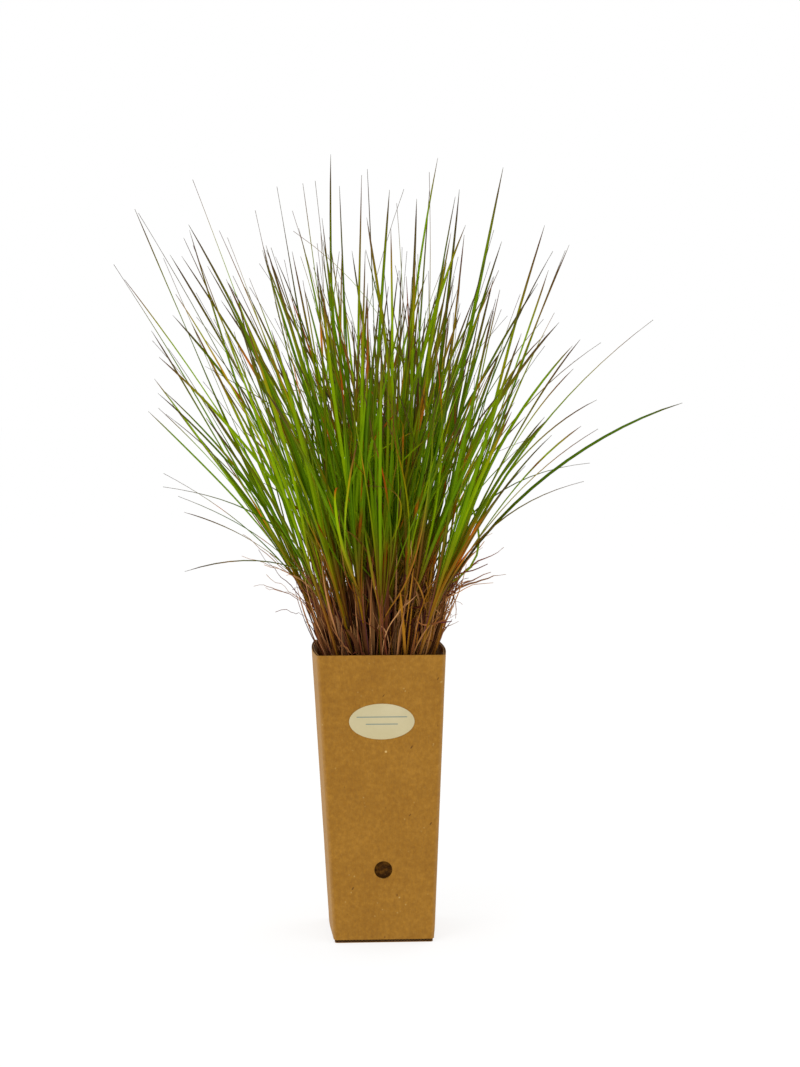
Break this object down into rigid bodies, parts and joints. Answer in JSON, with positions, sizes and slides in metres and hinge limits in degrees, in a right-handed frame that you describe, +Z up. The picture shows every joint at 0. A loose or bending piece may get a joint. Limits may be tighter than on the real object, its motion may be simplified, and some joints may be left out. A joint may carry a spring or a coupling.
{
  "type": "potted ornamental grass",
  "caption": "Upright clump of little bluestem grass growing from a square root ball in a tall tapered kraft carton with an oval label and vent holes.",
  "frame": {"origin": "centre of the carton's base, on the surface that it stands on", "axes": "+Z up; the panel with the label faces -Y; +X is to the right of that panel as it is read"},
  "size_m": [0.402, 0.3898, 0.556],
  "materials": {
    "kraft_board": "matt brown kraft corrugated board, lightly flecked with lighter and darker fibres",
    "label_paper": "cream uncoated sticker paper, slightly smooth",
    "potting_mix": "dark brown fibrous potting mix bound by fine roots, rough",
    "green_leaf": "living grass: purple-brown sheaths at the base, green ribbed blades with a faint sheen, purple-brown tips",
    "dry_straw": "dead grass leaves, dull tan to red-brown, fibrous"
  },
  "bodies": {
    "root": {"carton": "kraft_board", "label": "label_paper", "root_ball": "potting_mix", "green_stem_01": "green_leaf", "green_stem_02": "green_leaf", "straw_stem_03": "dry_straw", "green_stem_04": "green_leaf", "green_stem_05": "green_leaf", "green_stem_06": "green_leaf", "straw_stem_07": "dry_straw", "green_stem_08": "green_leaf", "green_stem_09": "green_leaf", "green_stem_10": "green_leaf", "straw_stem_11": "dry_straw", "green_stem_12": "green_leaf", "green_stem_13": "green_leaf", "green_stem_14": "green_leaf", "straw_stem_15": "dry_straw", "green_stem_16": "green_leaf", "green_stem_17": "green_leaf", "green_stem_18": "green_leaf", "straw_stem_19": "dry_straw", "green_stem_20": "green_leaf", "green_stem_21": "green_leaf", "green_stem_22": "green_leaf", "straw_stem_23": "dry_straw", "green_stem_24": "green_leaf", "green_stem_25": "green_leaf", "green_stem_26": "green_leaf", "straw_stem_27": "dry_straw", "green_stem_28": "green_leaf", "green_stem_29": "green_leaf", "green_stem_30": "green_leaf", "straw_stem_31": "dry_straw", "green_stem_32": "green_leaf", "green_stem_33": "green_leaf", "green_stem_34": "green_leaf", "straw_stem_35": "dry_straw", "green_stem_36": "green_leaf", "green_stem_37": "green_leaf", "green_stem_38": "green_leaf", "straw_stem_39": "dry_straw", "green_stem_40": "green_leaf", "green_stem_41": "green_leaf", "green_stem_42": "green_leaf", "straw_stem_43": "dry_straw", "green_stem_44": "green_leaf", "green_stem_45": "green_leaf", "green_stem_46": "green_leaf", "straw_stem_47": "dry_straw", "green_stem_48": "green_leaf", "green_stem_49": "green_leaf", "green_stem_50": "green_leaf", "straw_stem_51": "dry_straw", "green_stem_52": "green_leaf", "green_stem_53": "green_leaf", "green_stem_54": "green_leaf", "green_stem_55": "green_leaf", "green_stem_56": "green_leaf", "green_stem_57": "green_leaf"}
  },
  "joints": []
}
